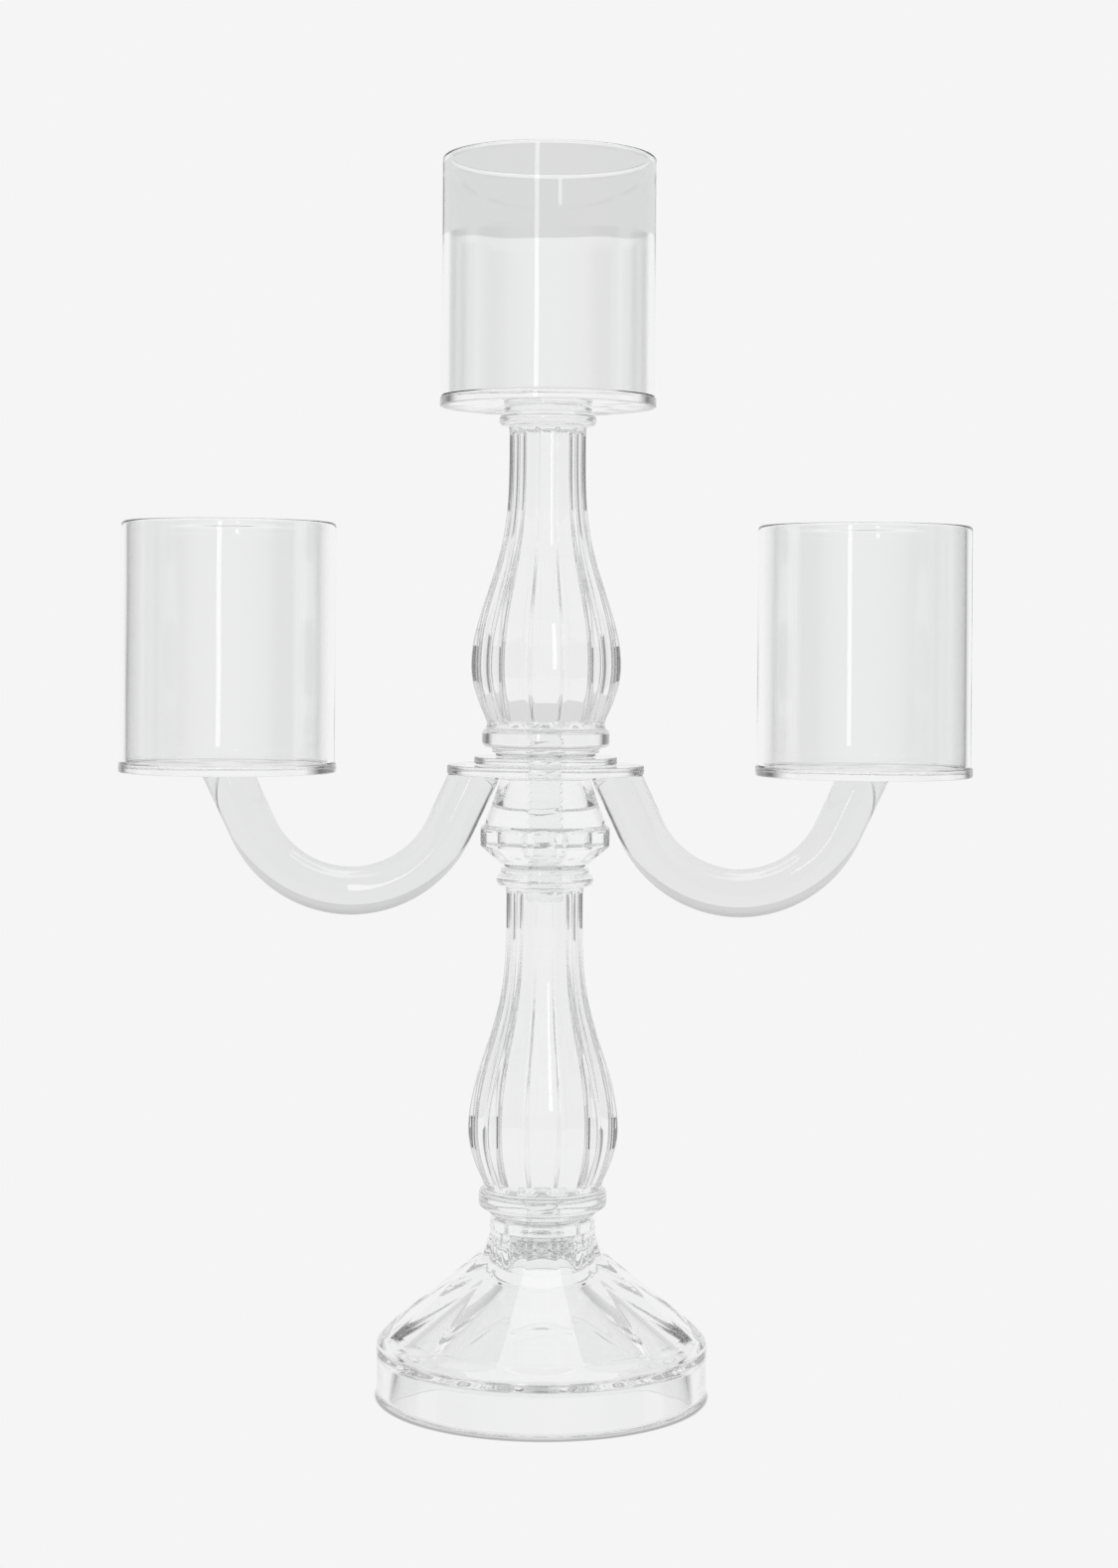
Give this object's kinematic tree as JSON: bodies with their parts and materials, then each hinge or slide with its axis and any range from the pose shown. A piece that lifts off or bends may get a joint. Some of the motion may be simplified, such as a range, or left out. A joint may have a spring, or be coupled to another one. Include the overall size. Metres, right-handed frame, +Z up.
{
  "type": "candelabrum",
  "caption": "Clear glass candelabrum: fluted baluster column on a hollow panelled foot, bent-rod arms on a round plate, and straight open cups.",
  "frame": {"origin": "centre of the foot's underside, on the surface that the object stands on", "axes": "+Z up the column, +X towards the right cup, -Y towards the viewer"},
  "size_m": [0.2794, 0.108, 0.4047],
  "materials": {
    "clear_glass": "clear, fire polished",
    "clear_plastic": "clear, moulded"
  },
  "bodies": {
    "base": {"foot": "clear_glass", "foot_nut": "clear_plastic", "foot_washer": "clear_plastic", "foot_stud": "clear_plastic", "foot_gasket": "clear_plastic", "lower_stem": "clear_glass", "hub_gasket": "clear_plastic", "hub": "clear_glass", "plate_gasket": "clear_plastic", "centre_stud": "clear_plastic"},
    "arm_assembly": {"arm_plate": "clear_glass", "collar_ring": "clear_glass", "right_arm": "clear_glass", "right_cup_floor": "clear_glass", "right_cup_wall": "clear_glass", "left_arm": "clear_glass", "left_cup_floor": "clear_glass", "left_cup_wall": "clear_glass"},
    "lifting_gasket": {"stem_gasket": "clear_plastic"},
    "upper_column": {"upper_stem": "clear_glass", "top_cup_floor": "clear_glass", "top_cup_wall": "clear_glass"}
  },
  "joints": [
    {"name": "arm_swivel", "type": "hinge", "parent": "base", "child": "arm_assembly", "pos_m": [0, 0, 0.2043], "axis": [0, 0, 1], "continuous": true},
    {"name": "upper_lift", "type": "slide", "parent": "base", "child": "lifting_gasket", "axis": [0, 0, 1], "range_m": [0, 0.009]},
    {"name": "upper_turn", "type": "hinge", "parent": "lifting_gasket", "child": "upper_column", "pos_m": [0, 0, 0.2098], "axis": [0, 0, 1], "range_deg": [0, 1080]}
  ],
  "couplings": [
    {"joint": "upper_lift", "follows": "upper_turn", "m_per_rad": 0.00047746}
  ]
}
